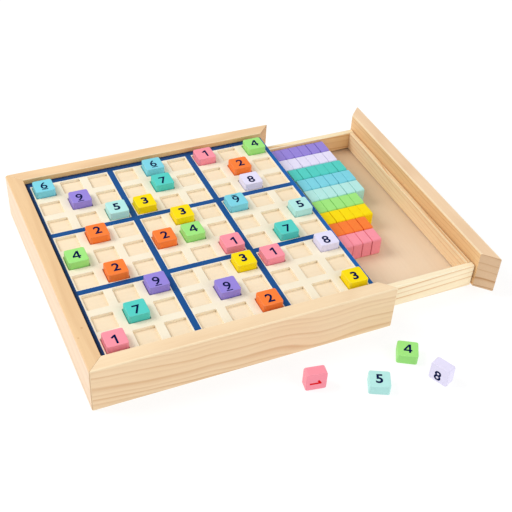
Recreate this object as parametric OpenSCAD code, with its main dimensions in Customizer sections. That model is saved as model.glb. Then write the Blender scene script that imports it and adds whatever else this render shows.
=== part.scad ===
// Wooden sudoku board: a mitred frame that holds a board of 81 pockets, a drawer that slides out
// from under the board and closes the fourth side of the frame, and 81 coloured number tiles.
// Lengths are millimetres and angles degrees. The frame's base lies on z = 0, the drawer opens
// towards +X, and the player sits on the -Y side.

/* [Tiles] */
// Side of a square number tile
tile_w = 15.7; // [12:0.1:20]
// Thickness of a number tile
tile_t = 8.4; // [6:0.1:12]
// Width of the eased edges of a tile
tile_ease = 0.9; // [0.3:0.1:2]

/* [Board] */
// Gap between a tile and each wall of its pocket
pocket_play = 0.45; // [0.1:0.05:1]
// Depth of the pockets, which is the thickness of the bars between them
pocket_depth = 2.4; // [2:0.1:6]
// Width of the bars between the pockets
bar_w = 6.7; // [4:0.1:12]
// Thickness of the sheet under the pockets
backing_t = 4.6; // [2:0.1:6]
// Width of the border left and right of the pockets
border_side = 5; // [2:0.1:12]
// Width of the border between the front rail and the pockets
border_front = 3; // [2:0.1:12]
// Width of the border between the back rail and the pockets
border_back = 7; // [2:0.1:12]

/* [Frame] */
// Thickness of the rails where they show above the board
rail_t = 12; // [8:0.1:16]
// Height of the rails above the board
lip_h = 4.2; // [2:0.1:10]
// Width of the ledge in the rails that carries the board
ledge_w = 2.25; // [1.5:0.05:5]
// Radius of the rails' upper outer edge
outer_r = 2; // [0.5:0.1:4]
// Radius of the rails' upper inner edge
inner_r = 0.6; // [0.3:0.1:3]
// Radius of the lower outer edge of the rails and of the drawer front
foot_r = 1; // [0.3:0.1:2]
// Thickness of the bottom panel
panel_t = 2.8; // [2:0.1:6]
// Height of the bottom panel above the table
panel_lift = 2.2; // [1:0.1:6]
// Depth of the groove in the rails that holds the bottom panel
panel_groove = 3; // [1:0.1:6]

/* [Drawer] */
// Distance that the drawer is pulled out
drawer_open = 93; // [0:0.1:130]
// Thickness of the four drawer walls
wall_t = 5.2; // [3.5:0.1:8]
// Height of the drawer walls above the tiles stored in the drawer
wall_over = 1.9; // [0.5:0.1:8]
// Radius of the upper edges of the drawer walls
wall_r = 0.8; // [0.3:0.1:1.5]
// Thickness of the drawer floor
floor_t = 2.2; // [1.5:0.1:5]
// Height of the drawer floor above the lower edge of the drawer walls
floor_lift = 0.5; // [0.3:0.1:4]
// Depth of the groove in the drawer walls that holds the drawer floor
floor_groove = 2; // [1:0.1:3]
// Height of the drawer front above the table
front_lift = 5.9; // [5.5:0.1:12]
// Gap between the drawer and the ledge at each side
side_play = 0.4; // [0.2:0.05:1.5]
// Gap under the drawer, and between the closed drawer front and the frame
fit_gap = 0.3; // [0.2:0.05:0.6]
// Room between the drawer walls and the board
head_room = 2.3; // [0.5:0.1:6]
// Gap behind the closed drawer
back_room = 1; // [0.3:0.1:10]

/* [Stored tiles] */
// Distance from the drawer's back wall to the first tile of the row of ones
row_start = 117.6; // [1:0.1:130]
// Gap between neighbouring rows, and between the last row and the drawer wall
row_gap = 0.45; // [0.1:0.05:1]
// Gap between neighbouring tiles in a row
stack_gap = 0.25; // [0.05:0.05:0.5]

/* [Loose tiles] */
// Place of the loose one, from the frame's front left corner, and its turn
one_at = [153.5, -33.5, -9]; // [-400:0.5:400]
// Place of the loose four, from the frame's front left corner, and its turn
four_at = [231, -32.5, -30]; // [-400:0.5:400]
// Place of the loose five, from the frame's front left corner, and its turn
five_at = [196.5, -51.5, -26]; // [-400:0.5:400]
// Place of the loose eight, from the frame's front left corner, and its turn
eight_at = [242.5, -61.5, -66]; // [-400:0.5:400]

/* [Hidden] */
cells = 9;
round_fn = 48;
past = 1; // how far a cutting shape runs past the face that it cuts

// The numbers on the board, from the back row to the front row, with a dot for an empty pocket
puzzle = [
    "6...6.1.4",
    ".9..7..2.",
    "..53...8.",
    ".2..3.6..",
    "4..24...5",
    ".2...1.7.",
    "..9..31.8",
    ".7..9....",
    "1....2..3"
];
// How many tiles of each number, from one to nine, stand in the drawer
stored_counts = [4, 4, 5, 5, 6, 6, 6, 6, 6];
// How far each row of the stored tiles stands beyond the row of ones
row_shifts = [0, 0.9, 1.2, 1.5, 2.3, 2.8, 2, 0.8, 1];
stored_names = ["ones", "twos", "threes", "fours", "fives", "sixes", "sevens", "eights", "nines"];
// The loose tiles: number, name, place and turn, and whether the tile stands on its edge
loose_tiles = [
    [1, "one", one_at, true],
    [4, "four", four_at, false],
    [5, "five", five_at, false],
    [8, "eight", eight_at, true]
];

tile_colours = [
    [0.96, 0.47, 0.58],
    [0.99, 0.45, 0.22],
    [0.99, 0.82, 0.10],
    [0.55, 0.86, 0.42],
    [0.66, 0.92, 0.88],
    [0.42, 0.78, 0.88],
    [0.28, 0.80, 0.72],
    [0.88, 0.86, 0.98],
    [0.60, 0.48, 0.84]
];
pine = [0.93, 0.80, 0.62];
pale_pine = [0.95, 0.86, 0.68];
cream = [0.96, 0.92, 0.82];
beige_sheet = [0.90, 0.79, 0.66];

// Plan of the board and the frame
pocket_w = tile_w + 2 * pocket_play;
pitch = pocket_w + bar_w;
grid_w = cells * pocket_w + (cells - 1) * bar_w;
frame_w = grid_w + 2 * border_side + 2 * rail_t;
frame_d = grid_w + border_front + border_back + 2 * rail_t;
ledge_in = rail_t + ledge_w;
board_w = frame_w - 2 * rail_t - fit_gap;
board_d = frame_d - 2 * rail_t;
pocket_x0 = rail_t + border_side;
pocket_y0 = rail_t + border_front;

// Heights, from the table up
panel_top = panel_lift + panel_t;
drawer_z = panel_top + fit_gap;
wall_h = floor_lift + floor_t + tile_w + wall_over;
store_z = drawer_z + floor_lift + floor_t;
board_z = drawer_z + wall_h + head_room;
pocket_z = board_z + backing_t;
board_top = pocket_z + pocket_depth;
frame_h = board_top + lip_h;

// Plan of the drawer, when it is closed
drawer_x0 = ledge_in + back_room;
drawer_x1 = frame_w - rail_t;
drawer_y0 = ledge_in + side_play;
drawer_y1 = frame_d - ledge_in - side_play;
drawer_l = drawer_x1 - drawer_x0;
drawer_w = drawer_y1 - drawer_y0;

// The reach of the whole object, whose middle at table height is the origin
function half_reach(a, b, turn) =
    let (s = abs(sin(turn)), c = abs(cos(turn)))
    max(a / 2 * c + (b / 2 - tile_ease) * s, (a / 2 - tile_ease) * c + b / 2 * s);
function loose_depth(tile) = tile[3] ? tile_t : tile_w;
function reach_x(tile) = half_reach(tile_w, loose_depth(tile), tile[2][2]);
function reach_y(tile) = half_reach(loose_depth(tile), tile_w, tile[2][2]);
x_low = min([0, for (tile = loose_tiles) tile[2][0] - reach_x(tile)]);
x_high = max([frame_w + drawer_open, for (tile = loose_tiles) tile[2][0] + reach_x(tile)]);
y_low = min([0, for (tile = loose_tiles) tile[2][1] - reach_y(tile)]);
y_high = max([frame_d, for (tile = loose_tiles) tile[2][1] + reach_y(tile)]);
origin = [(x_low + x_high) / 2, (y_low + y_high) / 2, 0];

// The number on the board at a row, counted from the back, and a column; less than one is empty
function number_at(row, column) = ord(puzzle[row][column]) - ord("0");
function tile_node(row, column) =
    str("tile_", number_at(row, column), "_row", row + 1, "_col", column + 1);
function stored_node(number) = str("stored_", stored_names[number - 1]);
function loose_node(tile) = str("loose_", tile[1]);

// What rounds off an outline's corner at (x, y); the outline lies towards (dx, dy) from there
module corner_cut(x, y, r, dx, dy) {
    translate([x, y])
        mirror([dx < 0 ? 1 : 0, 0, 0])
            mirror([0, dy < 0 ? 1 : 0, 0])
                difference() {
                    translate([-past, -past])
                        square(r + past);
                    translate([r, r])
                        circle(r, $fn = round_fn);
                }
}

// Runs an outline along +X, with its own x across and its own y up
module run_along(length) {
    rotate([90, 0, 90])
        linear_extrude(length)
            children();
}

// Section of a rail from its outer face inwards: lip, ledge for the board, groove for the panel
module rail_section() {
    difference() {
        union() {
            square([rail_t, frame_h]);
            square([ledge_in, board_z]);
        }
        corner_cut(0, frame_h, outer_r, 1, -1);
        corner_cut(rail_t, frame_h, inner_r, -1, -1);
        corner_cut(0, 0, foot_r, 1, 1);
        translate([ledge_in - panel_groove, panel_lift])
            square([panel_groove + past, panel_t]);
    }
}

// A rail along +X with its outer face at y = 0 and both ends cut at 45 degrees
module mitred_rail(length) {
    intersection() {
        run_along(length)
            rail_section();
        linear_extrude(frame_h)
            polygon([[0, 0], [length, 0], [length - ledge_in, ledge_in], [ledge_in, ledge_in]]);
    }
}

module place() {
    translate(-origin)
        children();
}

module left_rail() {
    color(pine)
        place()
            mirror([1, -1, 0])
                mitred_rail(frame_d);
}

module back_rail() {
    color(pine)
        place()
            translate([0, frame_d, 0])
                mirror([0, 1, 0])
                    mitred_rail(frame_w);
}

module front_rail() {
    color(pine)
        place()
            mitred_rail(frame_w);
}

// Thin panel in the grooves of the three rails; the drawer slides on it
module bottom_panel() {
    edge = ledge_in - panel_groove;
    color(beige_sheet)
        place()
            translate([edge, edge, panel_lift])
                cube([frame_w - ledge_in - edge, frame_d - 2 * edge, panel_t]);
}

// Sheet that closes the pockets from below and rests on the ledges
module board_backing() {
    color(beige_sheet)
        place()
            translate([rail_t, rail_t, board_z])
                cube([board_w, board_d, backing_t]);
}

// Ten bars that run the whole width of the board, one in front of each row and one behind the last
module grid_long_bars() {
    color(cream)
        place()
            for (bar = [0 : cells]) {
                y0 = bar == 0 ? rail_t : pocket_y0 + bar * pitch - bar_w;
                depth = bar == 0 ? border_front : bar == cells ? border_back : bar_w;
                translate([rail_t, y0, pocket_z])
                    cube([board_w, depth, pocket_depth]);
            }
}

// The short bars that divide each row into pockets
module grid_cross_bars() {
    color(cream)
        place()
            for (row = [0 : cells - 1], bar = [0 : cells]) {
                x0 = bar == 0 ? rail_t : pocket_x0 + bar * pitch - bar_w;
                width = bar == 0 ? border_side : bar == cells ? border_side - fit_gap : bar_w;
                translate([x0, pocket_y0 + row * pitch, pocket_z])
                    cube([width, pocket_w, pocket_depth]);
            }
}

// Moves a drawer piece from its closed place to where the drawer stands
module in_drawer() {
    place()
        translate([drawer_open, 0, 0])
            children();
}

// The fourth side of the frame, fixed to the drawer; its mitred ends meet those of the rails
module drawer_front() {
    h = frame_h - front_lift;
    ends = [[fit_gap, 0], [frame_d - fit_gap, 0]];
    inner_ends = [[frame_d - rail_t - fit_gap, rail_t], [rail_t + fit_gap, rail_t]];
    color(pine)
        in_drawer()
            translate([frame_w, 0, front_lift])
                rotate([0, 0, 90])
                    intersection() {
                        run_along(frame_d)
                            difference() {
                                square([rail_t, h]);
                                corner_cut(0, h, outer_r, 1, -1);
                                corner_cut(rail_t, h, inner_r, -1, -1);
                                corner_cut(0, 0, foot_r, 1, 1);
                            }
                        linear_extrude(h)
                            polygon(concat(ends, inner_ends));
                    }
}

// Section of a drawer wall from its outer face inwards, with the groove for the drawer floor
module wall_section() {
    difference() {
        square([wall_t, wall_h]);
        corner_cut(0, wall_h, wall_r, 1, -1);
        corner_cut(wall_t, wall_h, wall_r, -1, -1);
        translate([wall_t - floor_groove, floor_lift])
            square([floor_groove + past, floor_t]);
    }
}

module drawer_near_side() {
    color(pale_pine)
        in_drawer()
            translate([drawer_x0, drawer_y0, drawer_z])
                run_along(drawer_l)
                    wall_section();
}

module drawer_far_side() {
    color(pale_pine)
        in_drawer()
            translate([drawer_x0, drawer_y1, drawer_z])
                mirror([0, 1, 0])
                    run_along(drawer_l)
                        wall_section();
}

// The wall behind the drawer front, between the two sides
module drawer_box_front() {
    color(pale_pine)
        in_drawer()
            translate([drawer_x1, drawer_y0 + wall_t, drawer_z])
                rotate([0, 0, 90])
                    run_along(drawer_w - 2 * wall_t)
                        wall_section();
}

module drawer_box_back() {
    color(pale_pine)
        in_drawer()
            translate([drawer_x0, drawer_y1 - wall_t, drawer_z])
                rotate([0, 0, -90])
                    run_along(drawer_w - 2 * wall_t)
                        wall_section();
}

module drawer_floor() {
    edge = wall_t - floor_groove;
    color(beige_sheet)
        in_drawer()
            translate([drawer_x0 + edge, drawer_y0 + edge, drawer_z + floor_lift])
                cube([drawer_l - 2 * edge, drawer_w - 2 * edge, floor_t]);
}

// A rectangle a by b about the middle, with its corners cut off by the eased edge
module eased_outline(a, b) {
    polygon([
        for (side = [[1, 1], [-1, 1], [-1, -1], [1, -1]])
            for (end = side[0] * side[1] > 0 ? [0, 1] : [1, 0])
                [side[0] * (a / 2 - end * tile_ease), side[1] * (b / 2 - (1 - end) * tile_ease)]
    ]);
}

// A tile that stands on z = 0, with every edge eased
module tile_block(x, y, z) {
    intersection() {
        linear_extrude(z)
            eased_outline(x, y);
        translate([-x / 2, 0, z / 2])
            run_along(x)
                eased_outline(y, z);
        translate([0, y / 2, z / 2])
            rotate([90, 0, 0])
                linear_extrude(y)
                    eased_outline(x, z);
    }
}

// A tile lying in its pocket
module board_tile(row, column) {
    x = pocket_x0 + pocket_w / 2 + column * pitch;
    y = pocket_y0 + pocket_w / 2 + (cells - 1 - row) * pitch;
    color(tile_colours[number_at(row, column) - 1])
        place()
            translate([x, y, pocket_z])
                tile_block(tile_w, tile_w, tile_t);
}

// A row of tiles of one number, standing on edge in the drawer; the nines stand at the far side
module stored_row(number) {
    x = drawer_x0 + wall_t + row_start + row_shifts[number - 1] + tile_t / 2;
    y = drawer_y1 - wall_t - row_gap - tile_w / 2 - (cells - number) * (tile_w + row_gap);
    color(tile_colours[number - 1])
        in_drawer()
            for (tile = [0 : stored_counts[number - 1] - 1])
                translate([x + tile * (tile_t + stack_gap), y, store_z])
                    tile_block(tile_t, tile_w, tile_w);
}

// A tile on the table in front of the frame, flat or standing on its edge
module loose_tile(tile) {
    spot = tile[2];
    color(tile_colours[tile[0] - 1])
        place()
            translate([spot[0], spot[1], 0])
                rotate([0, 0, spot[2]])
                    tile_block(tile_w, loose_depth(tile), tile[3] ? tile_w : tile_t);
}

left_rail();
back_rail();
front_rail();
bottom_panel();
board_backing();
grid_long_bars();
grid_cross_bars();
drawer_front();
drawer_box_front();
drawer_box_back();
drawer_near_side();
drawer_far_side();
drawer_floor();
for (number = [1 : cells])
    stored_row(number);
for (row = [0 : cells - 1], column = [0 : cells - 1])
    if (number_at(row, column) > 0)
        board_tile(row, column);
for (tile = loose_tiles)
    loose_tile(tile);
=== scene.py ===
import bpy
import bmesh
import random
from math import pi, radians
from mathutils import Matrix, Vector


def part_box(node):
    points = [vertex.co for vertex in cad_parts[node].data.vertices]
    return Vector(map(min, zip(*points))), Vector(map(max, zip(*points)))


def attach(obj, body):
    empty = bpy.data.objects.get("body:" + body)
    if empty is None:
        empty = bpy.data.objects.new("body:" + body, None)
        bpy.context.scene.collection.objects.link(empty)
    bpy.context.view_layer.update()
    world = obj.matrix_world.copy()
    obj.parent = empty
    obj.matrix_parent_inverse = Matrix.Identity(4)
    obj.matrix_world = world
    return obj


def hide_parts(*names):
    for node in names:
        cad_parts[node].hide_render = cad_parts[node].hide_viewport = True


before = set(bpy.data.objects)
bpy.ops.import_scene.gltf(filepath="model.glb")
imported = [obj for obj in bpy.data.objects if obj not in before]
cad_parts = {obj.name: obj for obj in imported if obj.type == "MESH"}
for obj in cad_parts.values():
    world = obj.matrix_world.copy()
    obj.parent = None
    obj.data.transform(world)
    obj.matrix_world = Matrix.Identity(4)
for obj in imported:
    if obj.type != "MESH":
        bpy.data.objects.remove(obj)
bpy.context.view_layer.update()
scene = bpy.context.scene
mm = 0.001
tiny = 1e-6  # m, points closer than this count as level

# sizes that everything else hangs on, read off the solids
leftLow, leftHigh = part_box("left_rail")
frontLow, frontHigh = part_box("front_rail")
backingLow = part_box("board_backing")[0]
barsLow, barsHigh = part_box("grid_long_bars")
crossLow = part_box("grid_cross_bars")[0]
panelLow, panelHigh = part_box("bottom_panel")
trayLow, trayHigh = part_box("drawer_floor")
tileLow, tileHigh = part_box("tile_6_row1_col1")
corner = Vector((leftLow.x, frontLow.y, 0))  # front left corner of the frame, on the table
frameWide = frontHigh.x - frontLow.x
frameDeep = leftHigh.y - leftLow.y
railTop = frontHigh.z
railThick = backingLow.x - corner.x
ledgeIn = frontHigh.y - frontLow.y
boardTop = barsHigh.z
tileWide = tileHigh.x - tileLow.x
tileThick = tileHigh.z - tileLow.z


def tileMiddle(node):
    low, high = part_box(node)
    return (low + high) / 2


firstTile = tileMiddle("tile_6_row1_col1")  # back left pocket
lastTile = tileMiddle("tile_3_row9_col9")  # front right pocket
pitch = (lastTile.x - firstTile.x) / 8
pocketWide = 2 * (lastTile.y - crossLow.y)
barWide = pitch - pocketWide
pocketMiddle = (firstTile + lastTile) / 2


def rgb(red, green, blue):
    def linear(value):
        value /= 255
        return value / 12.92 if value <= 0.04045 else ((value + 0.055) / 1.055) ** 2.4
    return (linear(red), linear(green), linear(blue), 1.0)


class Wire:
    # a socket that takes part in sums: every operator adds one Math node
    def __init__(self, socket):
        self.socket = socket

    def math(self, operation, *values):
        tree = self.socket.id_data
        made = tree.nodes.new("ShaderNodeMath")
        made.operation = operation
        for place, value in zip(made.inputs, values):
            if isinstance(value, Wire):
                tree.links.new(value.socket, place)
            else:
                place.default_value = value
        return Wire(made.outputs[0])

    def __add__(self, other):
        return self.math("ADD", self, other)

    def __radd__(self, other):
        return self.math("ADD", other, self)

    def __sub__(self, other):
        return self.math("SUBTRACT", self, other)

    def __rsub__(self, other):
        return self.math("SUBTRACT", other, self)

    def __mul__(self, other):
        return self.math("MULTIPLY", self, other)

    def __rmul__(self, other):
        return self.math("MULTIPLY", other, self)

    def __truediv__(self, other):
        return self.math("DIVIDE", self, other)

    def __rtruediv__(self, other):
        return self.math("DIVIDE", other, self)

    def __pow__(self, other):
        return self.math("POWER", self, other)

    def fraction(self):
        return self.math("FRACT", self)

    def within(self, middle, reach):  # 1 where the value lies that close to the middle
        return self.math("COMPARE", self, middle, reach)

    def larger(self, other):
        return self.math("MAXIMUM", self, other)

    def beside(self, name):  # another output of the same node
        return Wire(self.socket.node.outputs[name])


class Finish:
    # a material that is being wired up
    def __init__(self, name, **constants):
        self.material = bpy.data.materials.new(name)
        self.material.use_nodes = True
        self.tree = self.material.node_tree
        self.shader = self.tree.nodes["Principled BSDF"]
        self.shade({name.replace("_", " "): value for name, value in constants.items()})
        self.place = self.node("TexCoord", out="Object")

    def feed(self, socket, value):
        if isinstance(value, Wire):
            self.tree.links.new(value.socket, socket)
        else:
            socket.default_value = value

    def shade(self, inputs):
        for name, value in inputs.items():
            self.feed(self.shader.inputs[name], value)

    def node(self, kind, settings={}, inputs={}, out=0):
        made = self.tree.nodes.new("ShaderNode" + kind)
        for name, value in settings.items():
            if name == "stops":
                ramp = made.color_ramp.elements
                ramp[0].position, ramp[1].position = value[0][0], value[-1][0]
                for spot, tone in value[1:-1]:
                    ramp.new(spot)
                for stop, (spot, tone) in zip(ramp, value):
                    stop.color = (tone, tone, tone, 1)
            else:
                setattr(made, name, value)
        for name, value in inputs.items():
            self.feed(made.inputs[name], value)
        return Wire(made.outputs[out])

    def noise(self, place, stretch, detail=2.0, roughness=0.5):
        spread = self.node("VectorMath", {"operation": "MULTIPLY"}, {0: place, 1: stretch})
        return self.node("TexNoise", {}, {"Vector": spread, "Scale": 1.0,
                                          "Detail": detail, "Roughness": roughness})

    def waver(self, value, detail=1.0):  # noise along one number
        return self.node("TexNoise", {"noise_dimensions": "1D"}, {"W": value, "Scale": 1.0, "Detail": detail})

    def slope(self, value, start, end):  # a soft step from 0 to 1
        return self.node("MapRange", {"interpolation_type": "SMOOTHSTEP"},
                         {"Value": value, "From Min": start, "From Max": end})

    def mix(self, share, first, second, blend="MIX"):
        return self.node("Mix", {"data_type": "RGBA", "blend_type": blend, "clamp_factor": True},
                         {0: share, 6: first, 7: second}, out=2)

    def worn(self):  # 1 on rounded edges, which carry wear and painted highlights
        return self.node("Attribute", {"attribute_name": "edgeWear"}, out="Fac")

    def bump(self, height, depth):
        self.shade({"Normal": self.node("Bump", {}, {"Height": height, "Distance": depth})})


def newShape():
    bm = bmesh.new()
    bm.faces.layers.float.new("edgeWear")
    return bm


def roundEdges(bm, edges, width, steps, wear=1.0):
    made = bmesh.ops.bevel(bm, geom=edges, offset=width, offset_type="OFFSET", affect="EDGES",
                           segments=steps, profile=0.5, material=-1, clamp_overlap=True)
    layer = bm.faces.layers.float["edgeWear"]
    for face in made["faces"]:
        face.smooth = True
        face[layer] = wear


def addPiece(name, bm, finishes, body, nodes, slot):
    bmesh.ops.recalc_face_normals(bm, faces=bm.faces[:])
    mesh = bpy.data.meshes.new(name)
    bm.to_mesh(mesh)
    bm.free()
    for finish in finishes:
        mesh.materials.append(finish)
    piece = bpy.data.objects.new(name, mesh)
    scene.collection.objects.link(piece)
    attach(piece, body)
    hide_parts(*nodes)


camera = {
    "stand": (-98.57, -432.47, 508.88),  # from the frame's front left corner, mm
    "turn": (47.57, -3.215, -24.124),
    "lens": 67.725, "sensor": 36.0,
    "shift": (-0.0085, 0.0819),
    "nearest": 0.01,  # m
}
lens = bpy.data.cameras.new("camera")
lens.lens = camera["lens"]
lens.sensor_width = camera["sensor"]
lens.shift_x, lens.shift_y = camera["shift"]
lens.clip_start = camera["nearest"]
cameraPiece = bpy.data.objects.new("camera", lens)
cameraPiece.location = corner + Vector(camera["stand"]) * mm
cameraPiece.rotation_euler = [radians(turn) for turn in camera["turn"]]
scene.collection.objects.link(cameraPiece)
scene.camera = cameraPiece

studio = {
    "sky": 0.54,
    "floorTone": 0.26,  # share of the light that the floor throws back
    "floorGlow": 0.77,
    "floorRough": 0.9, "floorMottle": (9, 9, 9), "floorPaler": 1.04,
    "floorWide": 60.0, "floorDrop": 0.05,  # m, mm
    "lights": {  # softboxes: place in m, width in m, power in W
        "keyLight": ((-1.1, 0.6, 1.2), 0.8, 16.5),
        "fillLight": ((0.9, -1.3, 1.0), 1.4, 12.0),
    },
}
scene.view_settings.view_transform = "Standard"
world = bpy.data.worlds.new("studio")
world.use_nodes = True
sky = world.node_tree.nodes["Background"]
sky.inputs["Color"].default_value = (1, 1, 1, 1)
sky.inputs["Strength"].default_value = studio["sky"]
scene.world = world
for name, (place, wide, power) in studio["lights"].items():
    light = bpy.data.lights.new(name, "AREA")
    light.size = wide
    light.energy = power
    lightPiece = bpy.data.objects.new(name, light)
    lightPiece.location = place
    lightPiece.rotation_euler = (-Vector(place)).to_track_quat("-Z", "Y").to_euler()
    scene.collection.objects.link(lightPiece)

floorFinish = Finish("paleFloor", Roughness=studio["floorRough"], Emission_Color=(1, 1, 1, 1),
                     Emission_Strength=studio["floorGlow"])
mottle = floorFinish.noise(floorFinish.place, studio["floorMottle"])
tone = Vector((1, 1, 1)) * studio["floorTone"]
paler = tone * studio["floorPaler"]
floorFinish.shade({"Base Color": floorFinish.mix(mottle, (*tone, 1), (*paler, 1))})
bm = bmesh.new()
bmesh.ops.create_grid(bm, x_segments=1, y_segments=1, size=studio["floorWide"] / 2)
bmesh.ops.translate(bm, vec=(0, 0, -studio["floorDrop"] * mm), verts=bm.verts[:])
floorMesh = bpy.data.meshes.new("floor")
bm.to_mesh(floorMesh)
bm.free()
floorMesh.materials.append(floorFinish.material)
floorPiece = bpy.data.objects.new("floor", floorMesh)
scene.collection.objects.link(floorPiece)
print("camera, light and floor set")


# Solid pine: growth rings about a far axis, so the faces and ends of a stick agree with each other.
# Lengths in a wood's dictionary are mm in the stick's own frame: x along, y inwards, z up.
def pineFinish(name, wood, place, turn, ends=False):
    finish = Finish(name, Specular_IOR_Level=wood["gloss"])
    spot = finish.node("Mapping", {"vector_type": "TEXTURE"},
                       {"Vector": finish.place, "Location": place, "Rotation": (0, 0, turn)})
    along = finish.node("SeparateXYZ", {}, {"Vector": spot}, out="X")
    across, up = along.beside("Y"), along.beside("Z")
    seed, ring = wood["seed"], wood["ring"] * mm
    sway = finish.waver(along * wood["swayRate"] + seed)
    wander = finish.noise(spot, wood["wanderGrain"], detail=1)
    aside = across - wood["heart"][0] * mm
    above = up - wood["heart"][1] * mm - along * wood["lean"] - (sway - 0.5) * (wood["sway"] * mm)
    radius = (aside * aside + above * above) ** 0.5 + (wander - 0.5) * (wood["wander"] * mm)
    uneven = finish.waver(radius / (wood["unevenOver"] * ring) + seed, detail=0.0) - 0.5
    rings = radius / ring + uneven * wood["uneven"] + seed
    band = rings.fraction()
    dark = finish.node("ValToRGB", {"stops": wood["profile"]}, {"Fac": band})
    strength = finish.node("TexWhiteNoise", {"noise_dimensions": "1D"}, {"W": rings - band}, out="Value")
    patch = finish.noise(spot, wood["patchGrain"], detail=2)
    streak = dark * (0.25 + strength * 0.75) * (0.4 + patch * 1.2)  # some rings and patches are fainter
    cloud = finish.noise(spot, wood["cloudGrain"], detail=3, roughness=0.6)
    fibre = finish.noise(spot, wood["fibreGrain"], detail=3, roughness=0.65)
    colour = finish.mix(cloud * 1.6 - 0.3, rgb(*wood["pale"]), rgb(*wood["warm"]))
    contrast = wood["endContrast"] if ends else wood["contrast"]
    colour = finish.mix(streak * contrast, colour, rgb(*wood["streak"]))
    colour = finish.mix((fibre - 0.42) * wood["fibre"], colour, rgb(*wood["streak"]))
    for x, y, z, wide in wood.get("pinKnots", []):
        core = Vector((x, y, z)) * mm
        gap = finish.node("VectorMath", {"operation": "DISTANCE"}, {0: spot, 1: core}, out="Value")
        knot = finish.slope(gap + (fibre - 0.5) * (wood["knotRagged"] * mm), wide * mm, 0.0)
        colour = finish.mix(knot * wood["knotDark"], colour, rgb(*wood["knot"]))
    if ends:
        pores = finish.noise(spot, wood["poreGrain"], detail=2)
        colour = finish.mix(0.6 + pores * 0.25, colour, rgb(*wood["endTone"]), "MULTIPLY")
        finish.shade({"Base Color": colour, "Roughness": 0.62 + pores * 0.2})
        finish.bump(pores - dark * 0.5, wood["endBump"] * mm)
        return finish.material
    # rounded edges turn paler: partly sanded wear, partly a painted highlight
    colour = finish.mix(finish.worn() * (0.3 + cloud * 0.6), colour, rgb(*wood["edge"]))
    finish.shade({"Base Color": colour, "Roughness": wood["rough"] + fibre * 0.16 - streak * 0.1})
    finish.bump(fibre * 0.6 - streak * 0.4, wood["bump"] * mm)
    return finish.material


softRings = [(0.0, 0.0), (0.3, 0.05), (0.62, 0.5), (0.82, 1.0), (0.93, 0.5), (1.0, 0.0)]
thinRings = [(0.0, 0.0), (0.6, 0.02), (0.8, 0.3), (0.89, 1.0), (0.95, 0.5), (1.0, 0.0)]
pine = {
    "pale": (245, 220, 183), "warm": (240, 207, 164), "streak": (208, 161, 113), "edge": (255, 236, 200),
    "knot": (196, 140, 92), "endTone": (222, 206, 190), "fibre": 0.5, "rough": 0.42, "gloss": 0.4,
    "profile": softRings, "contrast": 0.62, "endContrast": 1.0, "ring": 7.0, "uneven": 1.3,
    "unevenOver": 2.6,  # rings until their spacing changes
    "heart": (18, -62), "lean": 0.0, "sway": 16, "swayRate": 8.0, "wander": 4.5, "seed": 3.1,
    "knotRagged": 0.8, "knotDark": 0.6, "bump": 0.12, "endBump": 0.15,
    # noise per metre along and across the stick
    "wanderGrain": (9, 60, 60), "patchGrain": (14, 60, 60), "cloudGrain": (7, 45, 45),
    "fibreGrain": (55, 1900, 1900), "poreGrain": (1500, 1500, 1500),
}
palePine = dict(pine, pale=(255, 243, 212), warm=(253, 234, 194), streak=(212, 148, 82), edge=(255, 246, 218),
                profile=thinRings, contrast=0.95, ring=5.2, uneven=1.6, sway=7, swayRate=6.0, wander=2.5,
                lean=0.05)


# A stick along +X: its section is drawn in y and z, pulled out, cut at the ends and eased.
# Faces get slot 0, end grain slot 1, and the face that looks the chosen way in y slot 2, whose tones of its
# own paint light or shade onto that face.
def stick(section, length, rounds, ease, seam=None, blunt=(0, 0), paintedLightFace=0):
    bm = newShape()
    outline = bm.faces.new([bm.verts.new((0, y, z)) for y, z in section])
    pulled = bmesh.ops.extrude_face_region(bm, geom=[outline])["geom"]
    tip = [part for part in pulled if isinstance(part, bmesh.types.BMVert)]
    bmesh.ops.translate(bm, vec=(length, 0, 0), verts=tip)
    cuts = []
    if seam is not None:  # mitred, with a hair of room at the joint, and the sharp outer tips taken off
        cuts = [((seam * mm, 0, 0), (-1, 1, 0)), ((length - seam * mm, 0, 0), (1, 1, 0)),
                ((blunt[0] * mm, 0, 0), (-1, -1, 0)), ((length - blunt[1] * mm, 0, 0), (1, -1, 0))]
    for spot, away in cuts:
        everything = bm.verts[:] + bm.edges[:] + bm.faces[:]
        cut = bmesh.ops.bisect_plane(bm, geom=everything, plane_co=spot, plane_no=away, clear_outer=True)
        rim = [part for part in cut["geom_cut"] if isinstance(part, bmesh.types.BMEdge)]
        bmesh.ops.holes_fill(bm, edges=rim, sides=0)
    bm.normal_update()
    for face in bm.faces:
        facing = face.normal
        face.material_index = 2 if facing.y * paintedLightFace > 0.9 else 0
        if abs(facing.x) > 0.5 and facing.y > -0.1:
            face.material_index = 1
    for (y, z), width, steps in rounds:
        level = [edge for edge in bm.edges if all(abs(vert.co.z - z) < tiny for vert in edge.verts)]
        if y == 0:  # the outer edge runs on over the blunt tips
            ridge = [edge for edge in level if len({face.normal.y < -0.5 for face in edge.link_faces}) == 2]
        else:
            ridge = [edge for edge in level if all(abs(vert.co.y - y) < tiny for vert in edge.verts)]
        roundEdges(bm, ridge, width * mm, steps)
    rims = [edge for edge in bm.edges if len({face.material_index == 1 for face in edge.link_faces}) == 2]
    roundEdges(bm, rims, ease * mm, 2)
    return bm


def layStick(bm, place, turn):
    bmesh.ops.rotate(bm, cent=(0, 0, 0), matrix=Matrix.Rotation(turn, 3, "Z"), verts=bm.verts[:])
    bmesh.ops.translate(bm, vec=place, verts=bm.verts[:])


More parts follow.
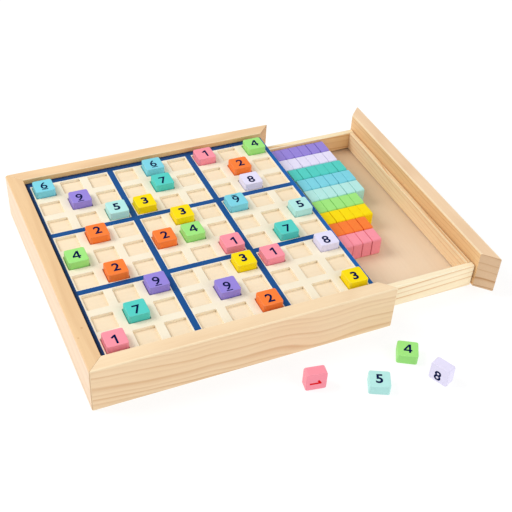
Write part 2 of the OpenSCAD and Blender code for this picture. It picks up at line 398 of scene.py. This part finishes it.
rail = {
    "outerRound": 1.4, "innerRound": 0.6, "footRound": 1.0, "ease": 0.3,
    "groove": 3.0,  # depth of the slot for the bottom panel
    "seam": 0.12,  # half of the hairline at the mitres
    "tipOpen": 1.2, "tipFront": 0.8, "tipBack": 1.7,  # how far the outer tips are blunted
    "front": dict(pine, seed=1.7, pale=(250, 226, 189), warm=(245, 213, 171), contrast=0.3),
    "back": dict(pine, seed=8.9, pale=(246, 213, 171), warm=(240, 202, 154), contrast=0.45),
    "left": dict(pine, seed=5.3, pale=(241, 206, 160), warm=(234, 194, 144), edge=(236, 196, 146),
                 contrast=0.3, ring=8, heart=(70, -40),
                 pinKnots=[(194.9, 7.6, 39.1, 1.3), (203.7, 2.6, 38.9, 1.1)]),  # place and width
    "ownFaces": {  # which face has tones of its own, -1 outer, 1 inner: painted shade on the front's outer face, which also has grain of its own, and painted light on the back's inner lip and the left's outer face
        "front": (-1, {"pale": (243, 216, 179), "warm": (237, 204, 161), "contrast": 0.72, "ring": 5.2,
                       "uneven": 1.8, "lean": -0.06, "sway": 22, "swayRate": 10.0, "wander": 6}),
        "back": (1, {"pale": (255, 211, 150), "warm": (254, 198, 129)}),
        "left": (-1, {"pale": (245, 219, 190), "warm": (241, 211, 178)}),
    },
}
grooveIn = ledgeIn - rail["groove"] * mm
railSection = [(0, 0), (ledgeIn, 0), (ledgeIn, panelLow.z), (grooveIn, panelLow.z), (grooveIn, panelHigh.z),
               (ledgeIn, panelHigh.z), (ledgeIn, backingLow.z), (railThick, backingLow.z),
               (railThick, railTop), (0, railTop)]
railRounds = [((0, railTop), rail["outerRound"], 6), ((railThick, railTop), rail["innerRound"], 4),
              ((0, 0), rail["footRound"], 4)]
for side, length, start, turn, tips in (
        ("front", frameWide, (0, 0, 0), 0, ("tipFront", "tipOpen")),
        ("back", frameWide, (frameWide, frameDeep, 0), pi, ("tipOpen", "tipBack")),
        ("left", frameDeep, (0, frameDeep, 0), -pi / 2, ("tipBack", "tipFront"))):
    place = corner + Vector(start)
    paintedLightFace, tones = rail["ownFaces"][side]
    blunt = [rail[tip] for tip in tips]
    bm = stick(railSection, length, railRounds, rail["ease"], rail["seam"], blunt, paintedLightFace)
    layStick(bm, place, turn)
    finishes = [pineFinish(side + "RailPine", rail[side], place, turn),
                pineFinish(side + "RailEndGrain", rail[side], place, turn, ends=True),
                pineFinish(side + "RailFacePine", dict(rail[side], **tones), place, turn)]
    addPiece(side + "Rail", bm, finishes, "frame", [side + "_rail"], "pine")
print("frame rails made")

drawerFront = {
    "outerRound": 1.4, "innerRound": 1.1, "footRound": 1.2, "ease": 0.4, "tip": 0.8,
    "wood": dict(pine, seed=6.4, ring=7.6, pale=(248, 216, 180), warm=(243, 209, 168), heart=(6, -230),
                 lean=0.004, sway=4, wander=3, uneven=1.0, contrast=0.75, endContrast=1.6,
                 endTone=(222, 214, 207), profile=thinRings),
    # painted shade: the inner face is darker and more orange than the rest; its finer grain is its own
    "innerFace": {"pale": (243, 203, 150), "warm": (235, 190, 133), "streak": (202, 142, 84), "ring": 3.4,
                  "uneven": 1.6, "contrast": 0.85},
}
low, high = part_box("drawer_front")
place = Vector((high.x, low.y, low.z))
thick, tall = high.x - low.x, high.z - low.z
section = [(0, 0), (thick, 0), (thick, tall), (0, tall)]
rounds = [((0, tall), drawerFront["outerRound"], 6), ((thick, tall), drawerFront["innerRound"], 4),
          ((0, 0), drawerFront["footRound"], 4)]
bm = stick(section, high.y - low.y, rounds, drawerFront["ease"], seam=0,
           blunt=(drawerFront["tip"], drawerFront["tip"]), paintedLightFace=1)
layStick(bm, place, pi / 2)
shadedInnerWood = dict(drawerFront["wood"], **drawerFront["innerFace"])
finishes = [pineFinish("drawerFrontPine", drawerFront["wood"], place, pi / 2),
            pineFinish("drawerFrontEndGrain", drawerFront["wood"], place, pi / 2, ends=True),
            pineFinish("drawerFrontInnerPine", shadedInnerWood, place, pi / 2)]
addPiece("drawerFront", bm, finishes, "drawer", ["drawer_front"], "pine")

drawerWall = {
    "topRound": 0.8, "ease": 0.45, "groove": 3.0,
    "floorGap": 1.3,  # the slots are that much taller than the floor in them
    "jointGap": 1.0,  # shadow line between the walls and the drawer front
    "near_side": dict(palePine, seed=2.6, heart=(-30, -45), lean=0.02),
    "far_side": dict(palePine, seed=4.6, pale=(255, 240, 203), warm=(252, 231, 184)),
    # the box front's tones are a little darker than the other walls': painted shade
    "box_front": dict(palePine, seed=9.75, heart=(30, -60), pale=(250, 226, 187), warm=(243, 214, 169),
                      ring=3.8, lean=0.03, edge=(246, 222, 180)),
    "box_back": dict(palePine, seed=7.1),
    "ownFaces": {"far_side": (1, {"pale": (252, 216, 164), "warm": (246, 203, 142)})},  # painted shade on the far side's inner face, as on the rails
}
for side, turn in (("near_side", 0), ("far_side", pi), ("box_front", pi / 2), ("box_back", -pi / 2)):
    low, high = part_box("drawer_" + side)
    wide, deep, tall = high - low
    thick, length = min(wide, deep), max(wide, deep)
    gap = drawerWall["jointGap"] * mm
    outer = gap if side == "box_front" else 0
    if side in ("near_side", "far_side"):  # their ends stop short of the drawer front
        high.x -= gap
        length -= gap
    place = {"near_side": low, "far_side": Vector((high.x, high.y, low.z)),
             "box_front": Vector((high.x, low.y, low.z)), "box_back": Vector((low.x, high.y, low.z))}[side]
    slotIn, slotLow = thick - drawerWall["groove"] * mm, trayLow.z - low.z
    slotHigh = trayHigh.z - low.z + drawerWall["floorGap"] * mm
    section = [(outer, 0), (thick, 0), (thick, slotLow), (slotIn, slotLow), (slotIn, slotHigh),
               (thick, slotHigh), (thick, tall), (outer, tall)]
    rounds = [((outer, tall), drawerWall["topRound"], 4), ((thick, tall), drawerWall["topRound"], 4)]
    paintedLightFace, tones = drawerWall["ownFaces"].get(side, (0, {}))
    bm = stick(section, length, rounds, drawerWall["ease"], paintedLightFace=paintedLightFace)
    layStick(bm, place, turn)
    name = "drawer" + side.replace("_", " ").title().replace(" ", "")
    finishes = [pineFinish(name + "Pine", drawerWall[side], place, turn),
                pineFinish(name + "EndGrain", drawerWall[side], place, turn, ends=True)]
    if paintedLightFace:
        finishes.append(pineFinish(name + "FacePine", dict(drawerWall[side], **tones), place, turn))
    addPiece(name, bm, finishes, "drawer", ["drawer_" + side], "pale_pine")
print("drawer front and walls made")


# Thin smooth plywood: faint straight grain and soft clouds
def sheetFinish(name, sheet):
    finish = Finish(name, Specular_IOR_Level=sheet["gloss"])
    turned = finish.node("Mapping", {}, {"Vector": finish.place, "Rotation": (0, 0, sheet["turn"])})
    cloud = finish.noise(turned, sheet["cloudGrain"], detail=3)
    grain = finish.noise(turned, sheet["lineGrain"], detail=4, roughness=0.6)
    colour = finish.mix(cloud * 1.5 - 0.25, rgb(*sheet["pale"]), rgb(*sheet["warm"]))
    colour = finish.mix((grain - 0.45) * sheet["grain"], colour, rgb(*sheet["streak"]))
    if "dust" in sheet:  # painted shade: darker towards the far side, most of all along the box front wall
        right = finish.node("SeparateXYZ", {}, {"Vector": finish.place}, out="X")
        along = finish.slope(right, trayHigh.x - sheet["dustReach"] * mm, trayHigh.x)
        back = finish.slope(right.beside("Y"), trayLow.y, trayHigh.y)
        colour = finish.mix((along * 0.6 + 0.3) * back, colour, rgb(*sheet["dust"]))
    finish.shade({"Base Color": colour, "Roughness": sheet["rough"] + grain * 0.15})
    finish.bump(grain, sheet["bump"] * mm)
    return finish.material


sheet = {"pale": (247, 230, 202), "warm": (242, 221, 189), "streak": (226, 196, 158),
         "grain": 0.45, "turn": 0.0, "gloss": 0.2, "rough": 0.48, "bump": 0.06,
         "cloudGrain": (12, 30, 30), "lineGrain": (22, 420, 420)}
# the tray floor carries painted shade towards its far corner
traySheet = dict(sheet, pale=(243, 221, 193), warm=(238, 212, 181), streak=(222, 188, 146), turn=pi / 2,
                 dust=(213, 183, 148), dustReach=45)
for node, kind in (("board_backing", sheet), ("drawer_floor", traySheet), ("bottom_panel", sheet)):
    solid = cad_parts[node]
    solid.data.materials.clear()
    solid.data.materials.append(sheetFinish(node.replace("_", " ").title().replace(" ", "") + "Sheet", kind))

grid = {
    "cornerRound": 0.7, "rimRound": 0.42,
    # rim is the colour of the painted highlight on the pocket rims
    "cream": (248, 238, 216), "creamDeep": (243, 231, 205), "rim": (255, 250, 238),
    "blue": (14, 84, 150), "blueDeep": (10, 72, 136), "blueRail": (2, 19, 54), "blueRight": (12, 98, 178),
    "stripe": 5.0,  # width of the stripes between the boxes, mm
    "leftTo": 15.8, "frontTo": 14.0, "backFrom": 219.1,  # border stripes, mm from the frame's corner
    "rightBand": (220.9, 224.5),
    "gatherLeft": (17, 13), "gatherBack": (217, 227), "gathered": 0.92,  # painted shade: the stripes darken next to the left and back rails, where the rails shade them
    "printBlur": 0.25, "blurGrain": (900, 900, 900), "mottle": (60, 60, 60), "fine": (1100, 1100, 1100),
    "gloss": 0.2, "rough": 0.5, "bump": 0.05, "rimShare": 0.25, "rightShare": 0.8,
}
halfGrid = pitch * 4.5  # nine pockets a side
bm = newShape()
bmesh.ops.create_grid(bm, x_segments=9, y_segments=9, size=halfGrid)
cells = bm.faces[:]
bmesh.ops.inset_individual(bm, faces=cells, thickness=barWide / 2, use_even_offset=True)
bmesh.ops.delete(bm, geom=cells, context="FACES_ONLY")
bmesh.ops.translate(bm, vec=(pocketMiddle.x, pocketMiddle.y, boardTop), verts=bm.verts[:])
reach = halfGrid - tiny
for vert in bm.verts:  # the outer border runs to the rails
    if abs(vert.co.x - pocketMiddle.x) > reach:
        vert.co.x = barsLow.x if vert.co.x < pocketMiddle.x else barsHigh.x
    if abs(vert.co.y - pocketMiddle.y) > reach:
        vert.co.y = barsLow.y if vert.co.y < pocketMiddle.y else barsHigh.y
bmesh.ops.solidify(bm, geom=bm.faces[:], thickness=boardTop - barsLow.z)
bm.normal_update()
uprights = [edge for edge in bm.edges
            if abs(edge.verts[0].co.z - edge.verts[1].co.z) > 1 * mm
            and barsLow.x + 1 * mm < edge.verts[0].co.x < barsHigh.x - 1 * mm
            and barsLow.y + 1 * mm < edge.verts[0].co.y < barsHigh.y - 1 * mm]
heights = [vert.co.z for vert in bm.verts]
print("grid plate:", len(uprights), "pocket corners, from", min(heights), "to", max(heights))
roundEdges(bm, uprights, grid["cornerRound"] * mm, 3)
rims = [edge for edge in bm.edges if all(vert.co.z > boardTop - tiny for vert in edge.verts)
        and any(abs(face.normal.z) < 0.5 for face in edge.link_faces)]
roundEdges(bm, rims, grid["rimRound"] * mm, 2)

finish = Finish("creamGrid", Specular_IOR_Level=grid["gloss"])
spot = finish.node("Mapping", {"vector_type": "TEXTURE"}, {"Vector": finish.place, "Location": corner})
blur = (finish.noise(spot, grid["blurGrain"]) - 0.5) * (grid["printBlur"] * mm)  # not quite a sharp edge
right = finish.node("SeparateXYZ", {}, {"Vector": spot}, out="X")
ahead = right.beside("Y") + blur
right = right + blur
half = grid["stripe"] * mm / 2
rightFrom, rightTo = [value * mm for value in grid["rightBand"]]
paint = right.within(0, grid["leftTo"] * mm).larger(ahead.within(0, grid["frontTo"] * mm))
paint = paint.larger(ahead.within(frameDeep, frameDeep - grid["backFrom"] * mm))
paint = paint.larger(right.within((rightFrom + rightTo) / 2, (rightTo - rightFrom) / 2))
for box in (-1.5, 1.5):  # two stripes each way between the 3 by 3 boxes
    paint = paint.larger(right.within(pocketMiddle.x - corner.x + box * pitch, half))
    across = ahead.within(pocketMiddle.y - corner.y + box * pitch, half)
    paint = paint.larger(across * right.within(0, rightTo))
mottle = finish.noise(spot, grid["mottle"], detail=4)
fine = finish.noise(spot, grid["fine"], detail=2)
cream = finish.mix(mottle * 1.6 - 0.3, rgb(*grid["cream"]), rgb(*grid["creamDeep"]))
# painted highlight: the pocket rims turn paler
cream = finish.mix(finish.worn() * grid["rimShare"], cream, rgb(*grid["rim"]))
blue = finish.mix(mottle, rgb(*grid["blue"]), rgb(*grid["blueDeep"]))
# painted shade: the blue turns deep navy along the left and back rails, in place of the rails' shadow
gatherLeft, gatherBack = [[value * mm for value in grid[side]] for side in ("gatherLeft", "gatherBack")]
gathered = finish.slope(right, *gatherLeft).larger(finish.slope(ahead, *gatherBack))
blue = finish.mix(gathered * grid["gathered"], blue, rgb(*grid["blueRail"]))
brighter = finish.slope(right, rightFrom - mm, rightFrom) * grid["rightShare"]
blue = finish.mix(brighter, blue, rgb(*grid["blueRight"]))
finish.shade({"Base Color": finish.mix(paint, cream, blue),
              "Roughness": grid["rough"] + fine * 0.15 - paint * 0.12})
finish.bump(fine + paint * 0.4, grid["bump"] * mm)
addPiece("pocketGrid", bm, [finish.material], "frame", ["grid_long_bars", "grid_cross_bars"], "cream_bars")
print("board and pocket grid made")


# Painted wood tiles. Built flat about the origin with the number on top, then turned and placed.
tile = {
    "cornerRound": 1.6, "rimRound": 0.5,
    "storedRim": 0.35, "storedThin": 0.22,  # tiles in the drawer show sharp dark seams
    "digitTall": 8.8, "inkThick": 0.03,
    "digitBold": {2: 0.026, 3: 0.038, 5: 0.03, 6: 0.01, 7: 0.014, 8: 0.022, 9: 0.012},
    "printShift": {1: (0.2, -0.6), 5: (-0.4, 0), 7: (-0.2, -1.8), 8: (-0.7, -1.6), 9: (-0.8, -1.4)},  # mm
    "strayed": {  # tiles whose number sits further off, mm
        "tile_1_row9_col1": (-1.1, -1.2), "tile_1_row6_col6": (0.1, -1.0), "tile_2_row9_col6": (-0.5, -1.0),
        "tile_3_row9_col9": (-0.6, -0.7), "tile_3_row7_col6": (-0.6, 0.5), "tile_8_row7_col9": (-0.6, -0.1),
    },
    "underline": (5.0, 0.9, 0.75),  # length, thickness, gap below the number, mm
    "outlines": {  # numbers that are drawn point by point, mm about the number's middle
        1: [[(-0.1, -4.4), (1.5, -4.4), (1.5, 4.4), (0.3, 4.4), (-2.5, 2.4), (-1.7, 1.1), (-0.1, 2.1)]],
        4: [[(0.7, -4.4), (2.3, -4.4), (2.3, -2.6), (3.2, -2.6), (3.2, -1.1), (2.3, -1.1), (2.3, 4.4),
             (0.6, 4.4), (-3.2, -1.2), (-3.2, -2.6), (0.7, -2.6)],
            [(0.7, -1.1), (0.7, 2.0), (-1.4, -1.1)]],
    },
    "upsideDown": "tile_6_row4_col7",
    "turnSpread": 0.5, "slideSpread": 0.1, "seed": 12,
    "pushed": (0.16, 0.2, 0),  # towards the back right of each pocket, mm
    "paints": [("pink", (253, 152, 168)), ("orange", (253, 130, 57)), ("yellow", (254, 225, 8)),
               ("green", (163, 234, 130)), ("mint", (184, 236, 231)), ("sky", (128, 215, 232)),
               ("teal", (87, 210, 199)), ("lavender", (233, 228, 253)), ("purple", (154, 136, 222))],
    "navy": (2, 19, 66), "red": (212, 8, 16),
    "paintGloss": 0.1, "paintRough": 0.36, "paintBump": 0.08, "paintDeep": 0.93, "paintLight": 0.35,
    "mottle": (260, 260, 260), "peel": (1500, 1500, 1500),  # noise per metre
    "inkGloss": 0.03, "inkRough": 0.45, "inkBump": 0.02, "inkLight": 1.3, "speck": (1800, 1800, 1800),
}
numberNames = ["ones", "twos", "threes", "fours", "fives", "sixes", "sevens", "eights", "nines"]


def paintFinish(name, colour):
    finish = Finish(name, Specular_IOR_Level=tile["paintGloss"])
    base = Vector(rgb(*colour)[:3])
    mottle = finish.noise(finish.place, tile["mottle"], detail=3)
    peel = finish.noise(finish.place, tile["peel"], detail=2)
    deep = finish.mix(mottle * 1.4 - 0.2, (*base, 1), (*(base * tile["paintDeep"]), 1))
    thin = finish.worn() * (mottle * 0.4 - 0.12)
    light = base.lerp(Vector((1, 1, 1)), tile["paintLight"])
    finish.shade({"Base Color": finish.mix(thin, deep, (*light, 1)),
                  "Roughness": tile["paintRough"] + mottle * 0.14 + peel * 0.08})
    finish.bump(peel * 0.5 + mottle, tile["paintBump"] * mm)
    return finish.material


def inkFinish(name, colour):
    finish = Finish(name, Specular_IOR_Level=tile["inkGloss"])
    base = Vector(rgb(*colour)[:3])
    speck = finish.noise(finish.place, tile["speck"], detail=3)
    light = base * tile["inkLight"]
    finish.shade({"Base Color": finish.mix(speck * 1.4 - 0.3, (*base, 1), (*light, 1)),
                  "Roughness": tile["inkRough"] + speck * 0.25})
    finish.bump(speck, tile["inkBump"] * mm)
    return finish.material


def numberShape(number):
    if number in tile["outlines"]:
        curve = bpy.data.curves.new("number", "CURVE")
        curve.dimensions = "2D"
        curve.fill_mode = "BOTH"
        for points in tile["outlines"][number]:
            loop = curve.splines.new("POLY")
            loop.use_cyclic_u = True
            loop.points.add(len(points) - 1)
            for point, (x, y) in zip(loop.points, points):
                point.co = (x, y, 0, 1)
        curve.extrude = 1
    else:
        curve = bpy.data.curves.new("number", "FONT")
        curve.body = str(number)
        curve.offset = tile["digitBold"][number]
        curve.extrude = 0.1
        curve.resolution_u = 5
    holder = bpy.data.objects.new("number", curve)
    scene.collection.objects.link(holder)
    drawn = bpy.data.meshes.new_from_object(holder.evaluated_get(bpy.context.evaluated_depsgraph_get()))
    bm = newShape()
    bm.from_mesh(drawn)
    bpy.data.objects.remove(holder)
    bpy.data.curves.remove(curve)
    bpy.data.meshes.remove(drawn)
    bmesh.ops.remove_doubles(bm, verts=bm.verts[:], dist=1e-5)
    tall, thick = tile["digitTall"] * mm, tile["inkThick"] * mm
    low = Vector([min(vert.co[axis] for vert in bm.verts) for axis in range(3)])
    high = Vector([max(vert.co[axis] for vert in bm.verts) for axis in range(3)])
    middle = (low + high) / 2
    size = tall / (high.y - low.y)
    bmesh.ops.translate(bm, vec=(-middle.x, -middle.y, -low.z), verts=bm.verts[:])
    bmesh.ops.scale(bm, vec=(size, size, thick / (high.z - low.z)), verts=bm.verts[:])
    if number in (6, 9):
        length, wide, gap = [value * mm for value in tile["underline"]]
        bar = bmesh.ops.create_cube(bm, size=1)["verts"]
        bmesh.ops.scale(bm, vec=(length, wide, thick), verts=bar)
        bmesh.ops.translate(bm, vec=(0, -tall / 2 - gap, thick / 2), verts=bar)
    aside, ahead = tile["printShift"].get(number, (0, 0))  # some numbers are printed off the middle
    bmesh.ops.translate(bm, vec=(aside * mm, ahead * mm, 0), verts=bm.verts[:])
    for face in bm.faces:
        face.material_index = 1
    mesh = bpy.data.meshes.new("number" + str(number))
    bm.to_mesh(mesh)
    bm.free()
    return mesh


numbers = {number: numberShape(number) for number in range(1, 10)}
navyInk, redInk = inkFinish("navyInk", tile["navy"]), inkFinish("redInk", tile["red"])
paints = [paintFinish(name + "Paint", colour) for name, colour in tile["paints"]]
paintSlots = [name + "_tile" for name, colour in tile["paints"]]


def addTile(bm, number, placing, printTurn=0.0, stray=(0, 0), rim=tile["rimRound"], thin=0.0, wear=1.0):
    block = newShape()
    thick = tileThick - thin * mm
    bmesh.ops.create_cube(block, size=1)
    bmesh.ops.scale(block, vec=(tileWide, tileWide, thick), verts=block.verts[:])
    uprights = [edge for edge in block.edges if abs(edge.verts[0].co.z - edge.verts[1].co.z) > mm]
    roundEdges(block, uprights, tile["cornerRound"] * mm, 4, wear)
    block.normal_update()
    rims = [edge for edge in block.edges if len({abs(face.normal.z) > 0.5 for face in edge.link_faces}) == 2]
    roundEdges(block, rims, rim * mm, 3, wear)
    body = bpy.data.meshes.new("tile")
    block.to_mesh(body)
    block.free()
    body.transform(placing)
    ink = numbers[number].copy()
    onTop = Matrix.Translation((stray[0] * mm, stray[1] * mm, thick / 2))
    ink.transform(placing @ onTop @ Matrix.Rotation(printTurn, 4, "Z"))
    for part in (body, ink):
        bm.from_mesh(part)
        bpy.data.meshes.remove(part)


shake = random.Random(tile["seed"])


def shaken(spread):
    return shake.uniform(-spread, spread)


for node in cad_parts:
    if node.startswith("tile_"):
        number = int(node.split("_")[1])
        aside = Vector(tile["pushed"]) + Vector((shaken(tile["slideSpread"]), shaken(tile["slideSpread"]), 0))
        turn = radians(shaken(tile["turnSpread"]))
        placing = Matrix.Translation(tileMiddle(node) + aside * mm) @ Matrix.Rotation(turn, 4, "Z")
        bm = newShape()
        addTile(bm, number, placing, pi if node == tile["upsideDown"] else 0.0,
                tile["strayed"].get(node, (0, 0)))
        name = "boardTile" + node[5:].replace("_row", "Row").replace("_col", "Col")
        addPiece(name, bm, [paints[number - 1], navyInk], node, [node], paintSlots[number - 1])
print("tiles on the board made")

# stored rows stand on edge with their numbers towards the drawer front, some pushed closer than others
standing = Matrix.Rotation(pi / 2, 4, "Z") @ Matrix.Rotation(pi / 2, 4, "X")
for number, word in enumerate(numberNames, 1):
    node = "stored_" + word
    low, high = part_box(node)
    count = round((high.x - low.x) / tileThick)
    shares = [shake.uniform(0.1, 1) ** 2 for gap in range(count - 1)]
    slack = (high.x - low.x - count * tileThick) / sum(shares)
    bm = newShape()
    middle = Vector((low.x + tileThick / 2, (low.y + high.y) / 2, (low.z + high.z) / 2))
    for share in shares + [0]:
        addTile(bm, number, Matrix.Translation(middle) @ standing,
                rim=tile["storedRim"], thin=tile["storedThin"], wear=0.0)
        middle.x += tileThick + share * slack
    addPiece("storedRow" + word.capitalize(), bm, [paints[number - 1], navyInk], node, [node],
             paintSlots[number - 1])
print("stored rows made")

upright = Matrix.Rotation(pi / 2, 4, "X")  # the number faces the player
loose = {
    "one": {"number": 1, "turn": -9, "stands": True, "printTurn": -90, "ink": redInk},
    "four": {"number": 4, "turn": -30, "stands": False, "printTurn": 0, "ink": navyInk},
    "five": {"number": 5, "turn": -26, "stands": False, "printTurn": 0, "ink": navyInk},
    "eight": {"number": 8, "turn": -66, "stands": True, "printTurn": 0, "ink": navyInk},
}
for word, lying in loose.items():
    node = "loose_" + word
    number = lying["number"]
    placing = Matrix.Translation(tileMiddle(node)) @ Matrix.Rotation(radians(lying["turn"]), 4, "Z")
    if lying["stands"]:
        placing = placing @ upright
    bm = newShape()
    addTile(bm, number, placing, radians(lying["printTurn"]))
    addPiece("looseTile" + word.capitalize(), bm, [paints[number - 1], lying["ink"]], node, [node],
             paintSlots[number - 1])
print("loose tiles made")
